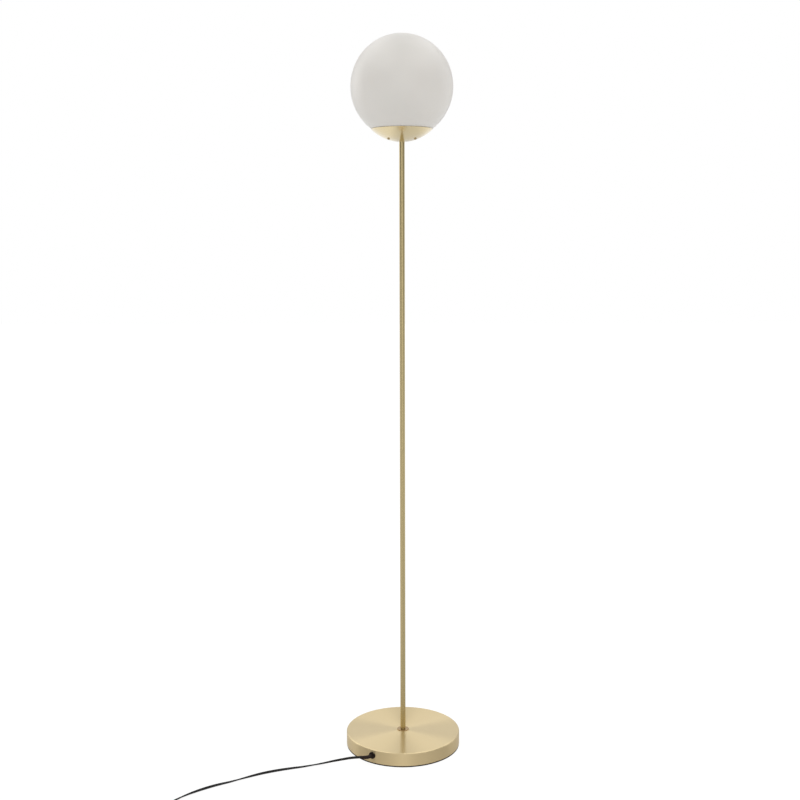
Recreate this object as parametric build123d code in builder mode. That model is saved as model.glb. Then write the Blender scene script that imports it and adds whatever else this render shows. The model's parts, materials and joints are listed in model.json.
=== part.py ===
from build123d import *
import os
from math import asin, cos, degrees, pi, radians, sin, sqrt, tan

# Globe floor lamp: a glass globe in a shallow cup, on a thin pole and a round weighted base.
# The origin is the centre of the base on the floor, +Z is up and -Y is the front.
# Lengths are in millimetres, angles in degrees.

# ---------------------------------------------------------------- base
base_diameter = 220.0
base_height = 27.6
base_edge_radius = 1.8
shell_wall = 1.0
pad_thickness = 2.4
pad_inset = 0.3
pad_hole_diameter = 40.0
weight_thickness = 12.0
weight_clearance = 0.5
weight_boss_diameter = 48.0
boss_roof = 9.0
nut_recess_diameter = 34.0
groove_width = 9.0
groove_depth = 5.6
rim_slot_length = 24.0
rim_slot_width = 13.0
casting_chamfer = 1.0

# ---------------------------------------------------------------- pole
pole_diameter = 10.0
nipple_diameter = 8.0
nipple_bore = 6.2
thread_clearance = 0.05
hole_clearance = 0.2
collar_diameter = 23.0
collar_thickness = 1.3
collar_edge_radius = 0.6
joint_length = 32.0
nipple_engagement = 22.0
washer_diameter = 18.0
washer_thickness = 1.0
nut_across_flats = 13.0
nut_height = 4.0
nut_chamfer = 0.6

# ---------------------------------------------------------------- globe and cup
overall_height = 1347.6
globe_radius = 93.6
glass_thickness = 2.2
glass_opening_radius = 42.0
glass_lip_radius = 0.5
cup_radius = 82.0
cup_wall = 0.8
cup_rim_fillet = 0.25
cup_flat_diameter = 19.0
seat_radius = 55.3
seat_gap = 0.5
seat_ring_drop = 1.5
seat_ring_height = 5.5
seat_ring_room = 1.2
moving_gap = 0.3
globe_screws = 3
screw_ring_radius = 28.0
screw_head_diameter = 4.6
screw_head_height = 1.7
screw_diameter = 3.0
screw_length = 5.8
screw_recess_length = 2.8
screw_recess_width = 0.8
screw_recess_depth = 0.7
screw_head_fillet = 0.6
carrier_radius = 33.0
carrier_thickness = 1.2
carrier_edge_gap = 3.0
carrier_boss_diameter = 7.0
clip_thickness = 0.8
clip_width = 9.0
clip_foot_radius = 22.0
clip_stem_radius = 30.5
clip_grip_rise = 1.5
clip_tip_rise = 9.0
clip_tip_inset = 3.0
clip_bend_radius = 2.0

# ---------------------------------------------------------------- lampholder and bulb
holder_diameter = 38.0
holder_wall = 2.0
holder_shoulder_height = 9.0
holder_cap_height = 14.0
holder_edge_fillet = 0.9
insert_seat = 1.5
holder_entry_diameter = 15.0
holder_entry_height = 4.0
holder_body_height = 36.0
insert_height = 9.0
contact_diameter = 9.0
contact_thickness = 1.2
thread_wall = 0.5
thread_recess = 3.0
bulb_cap_diameter = 26.4
bulb_thread_gap = 0.4
bulb_cap_height = 26.0
bulb_tip_height = 4.5
bulb_tip_diameter = 9.6
bulb_diameter = 60.0
bulb_length = 110.0
bulb_join_radius = 26.5
bulb_wall = 1.5
bulb_cap_wall = 0.6
bulb_board_thickness = 1.6

# ---------------------------------------------------------------- cable, bush and strain relief
cord_width = 5.0
cord_thickness = 2.8
cable_bend_radius = 8.0
cable_clearance = 0.4
cord_side_angle = 32.0
cord_exit_height = 16.3
grip_distance = 58.0
grip_length = 13.0
grip_clearance = 0.2
bush_flange_diameter = 13.0
bush_flange_thickness = 2.0
bush_flange_fillet = 0.8
bush_neck_diameter = 9.8
bush_lip_diameter = 11.6
bush_lip_thickness = 1.4
bush_clearance = 0.1
relief_inset = 4.0
relief_start_diameter = 7.0
relief_end_diameter = 6.0
relief_bend_radius = 13.0
relief_tip_length = 6.0
relief_end_heading = 173.0
relief_end_fall = 5.0
lead_first_run = 17.0

# ---------------------------------------------------------------- foot switch
switch_x = -319.0
switch_y = -314.0
switch_length = 66.0
switch_width = 30.0
switch_height = 19.5
switch_corner_radius = 9.0
switch_wall = 2.0
switch_parting = 8.5
switch_edge_fillet = 3.5
button_diameter = 18.0
button_height = 23.2
button_flange_width = 1.5
button_flange_thickness = 1.2
button_wall = 2.0
button_fillet = 1.5
contact_block_length = 44.0
contact_block_width = 10.0
contact_block_height = 9.0
spring_radius = 4.6
spring_wire = 0.8
spring_turns = 5
switch_screw_x = 17.0
switch_screw_y = 9.5
switch_post_diameter = 5.4
switch_screw_diameter = 2.4
switch_screw_head = 4.6
switch_screw_length = 14.0

# ---------------------------------------------------------------- coil, tie and plug
coil_pitch = 5.5
coil_layer_turns = 3.75
coil_climb_turns = 0.5
coil_inner_radius = 19.5
coil_lift = 1.3
tie_width = 6.0
tie_thickness = 0.8
tie_gap = 0.45
plug_width = 35.3
plug_thickness = 13.7
plug_length = 36.0
plug_back_width = 13.0
plug_shoulder_length = 14.0
plug_corner_radius = 4.0
plug_fillet = 2.5
plug_relief_length = 22.0
plug_relief_root_diameter = 9.5
plug_relief_tip_diameter = 6.4
pin_diameter = 4.0
pin_length = 19.0
pin_spacing = 18.6
pin_embedment = 10.0
pin_fillet = 1.2

# ---------------------------------------------------------------- levels and radii worked out
base_radius = base_diameter / 2
pole_radius = pole_diameter / 2
nipple_radius = nipple_diameter / 2
threaded_hole_radius = nipple_radius + thread_clearance
nipple_hole_radius = nipple_radius + hole_clearance
cord_radius = cord_width / 2
shell_inner_top = base_height - shell_wall
weight_radius = base_radius - shell_wall - weight_clearance
recess_roof = shell_inner_top - boss_roof
base_nut_bottom = recess_roof - washer_thickness - nut_height
groove_cable_height = pad_thickness + cable_clearance + cord_thickness / 2
cable_turn_top = groove_cable_height + cable_bend_radius

globe_centre = overall_height - globe_radius
glass_inner_radius = globe_radius - glass_thickness
glass_opening_height = globe_centre - sqrt(globe_radius**2 - glass_opening_radius**2)
glass_lip_inner_radius = sqrt(glass_inner_radius**2 - (globe_centre - glass_opening_height) ** 2)
cup_inner_radius = cup_radius - cup_wall
cup_rim_height = globe_centre - sqrt(globe_radius**2 - seat_radius**2)
centre_by_rim = cup_rim_height + sqrt(cup_inner_radius**2 - (seat_radius + seat_gap) ** 2)
# The cup clears the glass at its rim, and leaves the seat ring its room a little lower.
ring_depth = globe_centre - cup_rim_height + seat_ring_drop + seat_ring_height / 2
glass_at_ring = sqrt(globe_radius**2 - ring_depth**2)
ring_scale = 1 + seat_ring_room / globe_radius
centre_by_ring = globe_centre - ring_depth * ring_scale
centre_by_ring += sqrt(cup_inner_radius**2 - (glass_at_ring * ring_scale) ** 2)
cup_centre = min(centre_by_rim, centre_by_ring)
cup_bottom = cup_centre - sqrt(cup_radius**2 - (cup_flat_diameter / 2) ** 2)
cup_floor = cup_bottom + cup_wall

pole_bottom = base_height + collar_thickness
pole_top = cup_bottom
pole_names = ("pole_lower", "pole_middle", "pole_upper")
section_length = (pole_top - pole_bottom) / len(pole_names)

carrier_bottom = cup_centre - sqrt(cup_inner_radius**2 - (carrier_radius + carrier_edge_gap) ** 2)
carrier_top = carrier_bottom + carrier_thickness
screw_tilt = degrees(asin(screw_ring_radius / cup_radius))

holder_radius = holder_diameter / 2
holder_bottom = carrier_top
holder_cap_top = holder_bottom + holder_cap_height
holder_top = holder_cap_top + holder_body_height
insert_bottom = holder_cap_top
insert_top = insert_bottom + insert_height
insert_radius = holder_radius - holder_wall - thread_clearance
contact_top = insert_top + contact_thickness
bulb_cap_radius = bulb_cap_diameter / 2
thread_inner_radius = bulb_cap_radius + bulb_thread_gap
thread_outer_radius = thread_inner_radius + thread_wall
thread_top = holder_top - thread_recess
bulb_tip = contact_top + moving_gap
bulb_cap_top = bulb_tip + bulb_cap_height
bulb_radius = bulb_diameter / 2
bulb_top = bulb_tip + bulb_length
bulb_centre = bulb_top - bulb_radius
bulb_housing_top = bulb_centre - sqrt(bulb_radius**2 - bulb_join_radius**2)

# ---------------------------------------------------------------- frames on the base
# The cord leaves through the side wall, to the left of the front.
cord_out = Vector(-sin(radians(cord_side_angle)), -cos(radians(cord_side_angle)), 0)
cord_side = Vector(-cord_out.Y, cord_out.X, 0)
groove_plane = Plane(origin=(0, 0, pad_thickness), x_dir=cord_out, z_dir=(0, 0, 1))
wall_point = cord_out * base_radius + Vector(0, 0, cord_exit_height)
wall_plane = Plane(origin=wall_point, x_dir=cord_side, z_dir=cord_out)


def corner_radii(points):
    """One arc radius for each corner of a route: as large as its two runs allow."""
    radii = []
    for before, corner, after in zip(points, points[1:], points[2:]):
        first = Vector(*corner) - Vector(*before)
        second = Vector(*after) - Vector(*corner)
        half_turn = radians(first.get_angle(second)) / 2
        radii.append(0.45 * min(first.length, second.length) / tan(half_turn))
    return radii


def report_tube(name, part, path):
    """Print a tube's volume against its section times its length."""
    expected = pi * cord_radius**2 * path.length
    print(f"{name}: length {path.length:.1f}, volume {part.volume:.0f}, expected {expected:.0f}")


os.makedirs("parts", exist_ok=True)

# ================================================================ base
with BuildPart() as foot_pad:
    with BuildSketch():
        Circle(base_radius - pad_inset)
        Circle(pad_hole_diameter / 2, mode=Mode.SUBTRACT)
    extrude(amount=pad_thickness)
foot_pad.part.label = "foot_pad"
export_step(foot_pad.part, "parts/foot_pad.step")

with BuildPart() as base_shell:
    with BuildSketch(Plane.XY.offset(pad_thickness)):
        Circle(base_radius)
    extrude(amount=base_height - pad_thickness)
    fillet(base_shell.edges().sort_by(Axis.Z)[-1], base_edge_radius)
    offset(amount=-shell_wall, openings=base_shell.faces().sort_by(Axis.Z)[0])
    with BuildSketch(Plane.XY.offset(base_height)):
        Circle(nipple_hole_radius)
    extrude(amount=-2 * shell_wall, mode=Mode.SUBTRACT)
    with BuildSketch(wall_plane.offset(shell_wall)):
        Circle(bush_neck_diameter / 2 + bush_clearance)
    extrude(amount=-4 * shell_wall, mode=Mode.SUBTRACT)
base_shell.part.label = "base_shell"
export_step(base_shell.part, "parts/base_shell.step")

with BuildPart() as base_weight:
    with BuildSketch(Plane.XY.offset(pad_thickness)):
        Circle(weight_radius)
    extrude(amount=weight_thickness)
    chamfer(base_weight.edges().sort_by(Axis.Z)[-1], casting_chamfer)
    with BuildSketch(Plane.XY.offset(pad_thickness)):
        Circle(weight_boss_diameter / 2)
    extrude(amount=shell_inner_top - pad_thickness)
    with BuildSketch(Plane.XY.offset(pad_thickness)):
        Circle(nut_recess_diameter / 2)
    extrude(amount=recess_roof - pad_thickness, mode=Mode.SUBTRACT)
    with BuildSketch(Plane.XY.offset(recess_roof)):
        Circle(nipple_hole_radius)
    extrude(amount=boss_roof, mode=Mode.SUBTRACT)
    with BuildSketch(groove_plane):
        with Locations((weight_radius / 2, 0)):
            Rectangle(weight_radius, groove_width)
    extrude(amount=groove_depth, mode=Mode.SUBTRACT)
    with BuildSketch(groove_plane):
        with Locations((weight_radius, 0)):
            Rectangle(2 * rim_slot_length, rim_slot_width)
    extrude(amount=weight_thickness, mode=Mode.SUBTRACT)
base_weight.part.label = "base_weight"
export_step(base_weight.part, "parts/base_weight.step")

with BuildPart() as foot_collar:
    with BuildSketch(Plane.XY.offset(base_height)):
        Circle(collar_diameter / 2)
    extrude(amount=collar_thickness)
    fillet(foot_collar.edges().sort_by(Axis.Z)[-1], collar_edge_radius)
    with BuildSketch(Plane.XY.offset(base_height)):
        Circle(nipple_hole_radius)
    extrude(amount=collar_thickness, mode=Mode.SUBTRACT)
foot_collar.part.label = "foot_collar"
export_step(foot_collar.part, "parts/foot_collar.step")

# ================================================================ pole
for number, name in enumerate(pole_names):
    with BuildPart() as section:
        with BuildSketch(Plane.XY.offset(pole_bottom + number * section_length)):
            Circle(pole_radius)
            Circle(threaded_hole_radius, mode=Mode.SUBTRACT)
        extrude(amount=section_length)
    section.part.label = name
    export_step(section.part, f"parts/{name}.step")

# Hollow threaded nipples: in the base, at the two pole joints and under the lampholder.
nipple_ends = {
    "base_nipple": (cable_turn_top + cable_clearance, pole_bottom + nipple_engagement),
    "top_nipple": (pole_top - nipple_engagement, holder_bottom + holder_cap_height / 2),
}
for number, name in enumerate(("pole_joint_lower", "pole_joint_upper"), start=1):
    seam = pole_bottom + number * section_length
    nipple_ends[name] = (seam - joint_length / 2, seam + joint_length / 2)
for name, (low, high) in nipple_ends.items():
    with BuildPart() as nipple:
        with BuildSketch(Plane.XY.offset(low)):
            Circle(nipple_radius)
            Circle(nipple_bore / 2, mode=Mode.SUBTRACT)
        extrude(amount=high - low)
    nipple.part.label = name
    export_step(nipple.part, f"parts/{name}.step")

# A washer and a nut hold the pole to the base from below, and the cup to the pole from above.
for name, low in (("base_washer", recess_roof - washer_thickness), ("cup_washer", cup_floor)):
    with BuildPart() as washer:
        with BuildSketch(Plane.XY.offset(low)):
            Circle(washer_diameter / 2)
            Circle(nipple_hole_radius, mode=Mode.SUBTRACT)
        extrude(amount=washer_thickness)
    washer.part.label = name
    export_step(washer.part, f"parts/{name}.step")

for name, low in (("base_nut", base_nut_bottom), ("cup_nut", cup_floor + washer_thickness)):
    with BuildPart() as nut:
        with BuildSketch(Plane.XY.offset(low)):
            RegularPolygon(nut_across_flats / 2, 6, major_radius=False)
        extrude(amount=nut_height)
        nut_ends = nut.faces().filter_by(Axis.Z).edges()
        chamfer(nut_ends, nut_chamfer)
        with BuildSketch(Plane.XY.offset(low)):
            Circle(threaded_hole_radius)
        extrude(amount=nut_height, mode=Mode.SUBTRACT)
    nut.part.label = name
    export_step(nut.part, f"parts/{name}.step")

# ================================================================ cup
screw_angles = [90 + 360 * number / globe_screws for number in range(globe_screws)]
screw_axes = []
for angle in screw_angles:
    reach = sin(radians(screw_tilt))
    screw_axes.append(
        Vector(reach * cos(radians(angle)), reach * sin(radians(angle)), -cos(radians(screw_tilt)))
    )


def cup_plane(axis, distance):
    """The plane square to a screw's axis, at a distance from the centre of the cup's sphere."""
    return Plane(origin=Vector(0, 0, cup_centre) + axis * distance, z_dir=axis)


with BuildPart() as globe_cup:
    with BuildSketch(Plane.XZ):
        with Locations((0, cup_centre)):
            Circle(cup_radius)
            Circle(cup_inner_radius, mode=Mode.SUBTRACT)
        with Locations((0, cup_bottom)):
            Rectangle(
                cup_radius,
                cup_rim_height - cup_bottom,
                align=(Align.MIN, Align.MIN),
                mode=Mode.INTERSECT,
            )
            Rectangle(cup_flat_diameter / 2, cup_wall, align=(Align.MIN, Align.MIN))
    revolve(axis=Axis.Z)
    fillet(globe_cup.edges().group_by(Axis.Z)[-1], min(cup_rim_fillet, cup_wall / 3))
    with BuildSketch(Plane.XY.offset(cup_bottom)):
        Circle(nipple_hole_radius)
    extrude(amount=cup_wall, mode=Mode.SUBTRACT)
    for axis in screw_axes:
        with BuildSketch(cup_plane(axis, cup_inner_radius - cup_wall)):
            Circle(screw_diameter / 2 + hole_clearance)
        extrude(amount=3 * cup_wall, mode=Mode.SUBTRACT)
globe_cup.part.label = "globe_cup"
export_step(globe_cup.part, "parts/globe_cup.step")

# The seat ring fills the wedge between the cup and the glass, a little below the cup's rim.
with BuildPart() as seat_ring:
    with BuildSketch(Plane.XZ):
        with Locations((0, cup_centre)):
            Circle(cup_inner_radius - thread_clearance)
        with Locations((0, globe_centre)):
            Circle(globe_radius + moving_gap, mode=Mode.SUBTRACT)
        with Locations((0, cup_rim_height - seat_ring_drop)):
            Rectangle(
                cup_radius,
                seat_ring_height,
                align=(Align.MIN, Align.MAX),
                mode=Mode.INTERSECT,
            )
    revolve(axis=Axis.Z)
seat_ring.part.label = "seat_ring"
export_step(seat_ring.part, "parts/seat_ring.step")

# ================================================================ globe carrier, screws and clips
# The bosses start above the plate and are cut flush with it, so that they join it all round.
boss_start = (cup_centre - carrier_top) / cos(radians(screw_tilt)) - carrier_boss_diameter / 2
boss_length = cup_radius - boss_start
with BuildPart() as globe_carrier:
    with BuildSketch(Plane.XY.offset(carrier_bottom)):
        Circle(carrier_radius)
    extrude(amount=carrier_thickness)
    for axis in screw_axes:
        with BuildSketch(cup_plane(axis, boss_start)):
            Circle(carrier_boss_diameter / 2)
        extrude(amount=boss_length)
    with Locations((0, 0, cup_centre)):
        Sphere(cup_inner_radius - thread_clearance, mode=Mode.INTERSECT)
    with BuildSketch(Plane.XY.offset(carrier_top)):
        Circle(carrier_radius)
    extrude(amount=boss_length, mode=Mode.SUBTRACT)
    for axis in screw_axes:
        with BuildSketch(cup_plane(axis, boss_start)):
            Circle(screw_diameter / 2 + thread_clearance)
        extrude(amount=boss_length, mode=Mode.SUBTRACT)
    with BuildSketch(Plane.XY.offset(carrier_bottom)):
        Circle(nipple_hole_radius)
    extrude(amount=carrier_thickness, mode=Mode.SUBTRACT)
globe_carrier.part.label = "globe_carrier"
export_step(globe_carrier.part, "parts/globe_carrier.step")

for number, axis in enumerate(screw_axes, start=1):
    with BuildPart() as screw:
        with BuildSketch(cup_plane(axis, cup_radius)):
            Circle(screw_head_diameter / 2)
        extrude(amount=screw_head_height)
        fillet(screw.edges().sort_by_distance((0, 0, cup_centre))[-1], screw_head_fillet)
        with BuildSketch(cup_plane(axis, cup_radius + screw_head_height)):
            Rectangle(screw_recess_length, screw_recess_width)
            Rectangle(screw_recess_width, screw_recess_length)
        extrude(amount=-screw_recess_depth, mode=Mode.SUBTRACT)
        with BuildSketch(cup_plane(axis, cup_radius)):
            Circle(screw_diameter / 2)
        extrude(amount=-screw_length)
    screw.part.label = f"cup_screw_{number}"
    export_step(screw.part, f"parts/cup_screw_{number}.step")

# Three bent strips stand just inside the glass opening, between the screws.
clip_reach = sqrt((glass_lip_inner_radius - moving_gap) ** 2 - (clip_width / 2) ** 2)
clip_grip_radius = clip_reach - clip_thickness
clip_grip_height = glass_opening_height + clip_grip_rise
clip_foot_height = carrier_top + clip_thickness / 2
for number, angle in enumerate(screw_angles, start=1):
    clip_angle = radians(angle + 180 / globe_screws)
    radial = Vector(cos(clip_angle), sin(clip_angle), 0)
    with BuildPart() as clip:
        with BuildSketch(Plane(origin=(0, 0, 0), x_dir=radial, z_dir=radial.cross(Vector(0, 0, 1)))):
            with BuildLine():
                FilletPolyline(
                    (clip_foot_radius, clip_foot_height),
                    (clip_stem_radius, clip_foot_height),
                    (clip_grip_radius, clip_grip_height),
                    (clip_grip_radius - clip_tip_inset, clip_grip_height + clip_tip_rise),
                    radius=clip_bend_radius,
                )
            trace(line_width=clip_thickness)
        extrude(amount=clip_width / 2, both=True)
    clip.part.label = f"globe_clip_{number}"
    export_step(clip.part, f"parts/globe_clip_{number}.step")

# ================================================================ glass globe
with BuildPart() as globe_glass:
    with BuildSketch(Plane.XZ):
        with Locations((0, globe_centre)):
            Circle(globe_radius)
            Circle(glass_inner_radius, mode=Mode.SUBTRACT)
        with Locations((0, glass_opening_height)):
            Rectangle(
                globe_radius,
                overall_height - glass_opening_height,
                align=(Align.MIN, Align.MIN),
                mode=Mode.INTERSECT,
            )
    revolve(axis=Axis.Z)
    fillet(globe_glass.edges().filter_by(GeomType.CIRCLE).group_by(Axis.Z)[0], glass_lip_radius)
globe_glass.part.label = "globe_glass"
export_step(globe_glass.part, "parts/globe_glass.step")

# ================================================================ lampholder
holder_entry_radius = holder_entry_diameter / 2
holder_entry_top = holder_bottom + holder_entry_height
holder_shoulder = holder_bottom + holder_shoulder_height
holder_inner_radius = holder_radius - holder_wall
cap_inner_radius = holder_inner_radius - insert_seat
with BuildPart() as holder_cap:
    with BuildSketch(Plane.XZ):
        Polygon(
            (threaded_hole_radius, holder_bottom),
            (holder_entry_radius, holder_bottom),
            (holder_entry_radius, holder_entry_top),
            (holder_radius, holder_shoulder),
            (holder_radius, holder_cap_top),
            (cap_inner_radius, holder_cap_top),
            (cap_inner_radius, holder_shoulder + holder_wall),
            (threaded_hole_radius, holder_entry_top + holder_wall),
            align=None,
        )
    revolve(axis=Axis.Z)
holder_cap.part.label = "holder_cap"
export_step(holder_cap.part, "parts/holder_cap.step")

with BuildPart() as holder_body:
    with BuildSketch(Plane.XY.offset(holder_cap_top)):
        Circle(holder_radius)
        Circle(holder_inner_radius, mode=Mode.SUBTRACT)
    extrude(amount=holder_body_height)
    with BuildSketch(Plane.XY.offset(holder_top)):
        Circle(holder_radius)
        Circle(thread_outer_radius, mode=Mode.SUBTRACT)
    extrude(amount=-holder_wall)
    fillet(holder_body.edges().group_by(Axis.Z)[-1], holder_edge_fillet)
holder_body.part.label = "holder_body"
export_step(holder_body.part, "parts/holder_body.step")

with BuildPart() as holder_insert:
    with BuildSketch(Plane.XY.offset(insert_bottom)):
        Circle(insert_radius)
    extrude(amount=insert_height)
holder_insert.part.label = "holder_insert"
export_step(holder_insert.part, "parts/holder_insert.step")

with BuildPart() as holder_thread:
    with BuildSketch(Plane.XY.offset(insert_top)):
        Circle(thread_outer_radius)
        Circle(thread_inner_radius, mode=Mode.SUBTRACT)
    extrude(amount=thread_top - insert_top)
holder_thread.part.label = "holder_thread"
export_step(holder_thread.part, "parts/holder_thread.step")

with BuildPart() as holder_contact:
    with BuildSketch(Plane.XY.offset(insert_top)):
        Circle(contact_diameter / 2)
    extrude(amount=contact_thickness)
holder_contact.part.label = "holder_contact"
export_step(holder_contact.part, "parts/holder_contact.step")

# ================================================================ bulb
bulb_tip_radius = bulb_tip_diameter / 2
with BuildPart() as bulb_cap:
    with BuildSketch(Plane.XZ):
        Polygon(
            (0, bulb_tip),
            (bulb_tip_radius, bulb_tip),
            (bulb_cap_radius, bulb_tip + bulb_tip_height),
            (bulb_cap_radius, bulb_cap_top),
            (bulb_cap_radius - bulb_cap_wall, bulb_cap_top),
            (bulb_cap_radius - bulb_cap_wall, bulb_tip + bulb_tip_height + bulb_cap_wall),
            (bulb_tip_radius - bulb_cap_wall, bulb_tip + bulb_cap_wall),
            (0, bulb_tip + bulb_cap_wall),
            align=None,
        )
    revolve(axis=Axis.Z)
bulb_cap.part.label = "bulb_cap"
export_step(bulb_cap.part, "parts/bulb_cap.step")

with BuildPart() as bulb_housing:
    with BuildSketch(Plane.XZ):
        Polygon(
            (bulb_cap_radius - bulb_wall, bulb_cap_top),
            (bulb_cap_radius, bulb_cap_top),
            (bulb_join_radius, bulb_housing_top),
            (bulb_join_radius - bulb_wall, bulb_housing_top),
            align=None,
        )
    revolve(axis=Axis.Z)
bulb_housing.part.label = "bulb_housing"
export_step(bulb_housing.part, "parts/bulb_housing.step")

# The board rests on the housing's inner slope, at its own lower edge.
housing_slope = (bulb_join_radius - bulb_cap_radius) / (bulb_housing_top - bulb_cap_top)
board_radius = bulb_join_radius - bulb_wall - housing_slope * bulb_board_thickness - thread_clearance
with BuildPart() as bulb_board:
    with BuildSketch(Plane.XY.offset(bulb_housing_top)):
        Circle(board_radius)
    extrude(amount=-bulb_board_thickness)
bulb_board.part.label = "bulb_board"
export_step(bulb_board.part, "parts/bulb_board.step")

with BuildPart() as bulb_diffuser:
    with BuildSketch(Plane.XZ):
        with Locations((0, bulb_centre)):
            Circle(bulb_radius)
            Circle(bulb_radius - bulb_wall, mode=Mode.SUBTRACT)
        with Locations((0, bulb_housing_top)):
            Rectangle(
                bulb_radius,
                bulb_top - bulb_housing_top,
                align=(Align.MIN, Align.MIN),
                mode=Mode.INTERSECT,
            )
    revolve(axis=Axis.Z)
bulb_diffuser.part.label = "bulb_diffuser"
export_step(bulb_diffuser.part, "parts/bulb_diffuser.step")

# ================================================================ inner cable, grip, bush and relief
cable_rise_start = weight_radius - rim_slot_length + cord_thickness
cable_rise_end = cable_rise_start + cord_exit_height - groove_cable_height
relief_start = base_radius - relief_inset
groove_level = Vector(0, 0, groove_cable_height)
exit_level = Vector(0, 0, cord_exit_height)
with BuildPart() as inner_cable:
    with BuildLine() as cable_path:
        FilletPolyline(
            (0, 0, insert_bottom),
            groove_level,
            cord_out * cable_rise_start + groove_level,
            cord_out * cable_rise_end + exit_level,
            cord_out * relief_start + exit_level,
            radius=cable_bend_radius,
        )
    with BuildSketch(Plane(origin=(0, 0, insert_bottom), x_dir=cord_side, z_dir=(0, 0, -1))):
        SlotOverall(cord_width, cord_thickness)
    sweep(path=cable_path.wire())
inner_cable.part.label = "inner_cable"
export_step(inner_cable.part, "parts/inner_cable.step")

with BuildPart() as cord_grip:
    with BuildSketch(groove_plane):
        with Locations((grip_distance, 0)):
            Rectangle(grip_length, groove_width - 2 * grip_clearance)
    extrude(amount=groove_depth - grip_clearance)
    with BuildSketch(Plane(origin=groove_level, x_dir=cord_side, z_dir=cord_out)):
        SlotOverall(cord_width + grip_clearance, cord_thickness + grip_clearance)
    extrude(amount=grip_distance + grip_length, mode=Mode.SUBTRACT)
cord_grip.part.label = "cord_grip"
export_step(cord_grip.part, "parts/cord_grip.step")

# The lip inside the wall is flat, so it stands off the round wall by the lip's own sagitta.
lip_radius = bush_lip_diameter / 2
lip_distance = sqrt((base_radius - shell_wall) ** 2 - lip_radius**2)
bush_inner = lip_distance - bush_lip_thickness
with BuildPart() as cord_bush:
    with BuildSketch(wall_plane):
        Circle(bush_flange_diameter / 2)
    extrude(amount=bush_flange_thickness)
    flange_rim = cord_bush.faces().sort_by(Axis((0, 0, 0), cord_out))[-1].edges()
    fillet(flange_rim, bush_flange_fillet)
    with BuildSketch(wall_plane):
        Circle(bush_neck_diameter / 2)
    extrude(amount=bush_inner - base_radius)
    with BuildSketch(wall_plane.offset(lip_distance - base_radius)):
        Circle(lip_radius)
    extrude(amount=-bush_lip_thickness)
    with BuildSketch(wall_plane.offset(bush_flange_thickness)):
        Circle(relief_start_diameter / 2 + bush_clearance)
    extrude(amount=bush_inner - base_radius - bush_flange_thickness, mode=Mode.SUBTRACT)
cord_bush.part.label = "cord_bush"
export_step(cord_bush.part, "parts/cord_bush.step")

# The sleeve runs straight through the bush, then bends to the left and a little down.
relief_heading = radians(relief_end_heading)
relief_fall = radians(relief_end_fall)
relief_direction = Vector(
    cos(relief_heading) * cos(relief_fall), sin(relief_heading) * cos(relief_fall), -sin(relief_fall)
)
relief_turn = radians(cord_out.get_angle(relief_direction))
relief_tangent = relief_bend_radius * tan(relief_turn / 2)
relief_corner = cord_out * (base_radius + bush_flange_thickness + relief_tangent) + exit_level
relief_end = relief_corner + relief_direction * (relief_tangent + relief_tip_length)
with BuildPart() as strain_relief:
    with BuildLine() as relief_path:
        FilletPolyline(
            cord_out * relief_start + exit_level, relief_corner, relief_end, radius=relief_bend_radius
        )
    with BuildSketch(Plane(origin=cord_out * relief_start + exit_level, z_dir=cord_out)):
        Circle(relief_start_diameter / 2)
    with BuildSketch(Plane(origin=relief_end, z_dir=relief_direction)):
        Circle(relief_end_diameter / 2)
    sweep(path=relief_path.wire(), multisection=True)
strain_relief.part.label = "strain_relief"
export_step(strain_relief.part, "parts/strain_relief.step")

# ================================================================ cord from the base to the switch
block_half = contact_block_length / 2
lead_points = [
    tuple(relief_end),
    tuple(relief_end + relief_direction * lead_first_run),
    (-113.5, -96.3, 10.0),
    (-132.0, -95.8, 6.2),
    (-152.0, -98.5, 3.2),
    (-180.0, -106.5, 2.5),
    (-217.0, -118.5, 2.5),
    (-257.0, -135.2, 2.5),
    (-298.0, -160.0, 2.5),
    (-337.0, -182.0, 2.5),
    (-368.0, -205.5, 2.5),
    (-392.0, -227.0, 2.5),
    (-408.0, -247.0, 2.5),
    (-412.5, -272.0, 2.5),
    (-401.5, -295.0, 2.5),
    (-382.0, -309.0, 5.0),
    (-361.0, switch_y, switch_parting),
    (switch_x - block_half, switch_y, switch_parting),
]
lead_radii = corner_radii(lead_points)
print("lead radii", [round(radius) for radius in lead_radii])
with BuildPart() as cord_lead:
    with BuildLine() as lead_path:
        FilletPolyline(*lead_points, radius=lead_radii)
    with BuildSketch(Plane(origin=lead_points[0], z_dir=relief_direction)):
        Circle(cord_radius)
    sweep(path=lead_path.wire())
cord_lead.part.label = "cord_lead"
export_step(cord_lead.part, "parts/cord_lead.step")
report_tube("cord_lead", cord_lead.part, lead_path.wire())

# ================================================================ foot switch
switch_plane = Plane(origin=(switch_x, switch_y, 0))
switch_inner_top = switch_height - switch_wall
inner_length = switch_length - 2 * switch_wall
inner_width = switch_width - 2 * switch_wall
inner_corner = switch_corner_radius - switch_wall
post_places = [(-switch_screw_x, switch_screw_y), (switch_screw_x, -switch_screw_y)]
entry_plane = Plane(origin=(switch_x, switch_y, switch_parting), z_dir=(1, 0, 0))
block_top = switch_wall + contact_block_height
button_flange_top = switch_inner_top - moving_gap
button_flange_bottom = button_flange_top - button_flange_thickness

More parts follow.
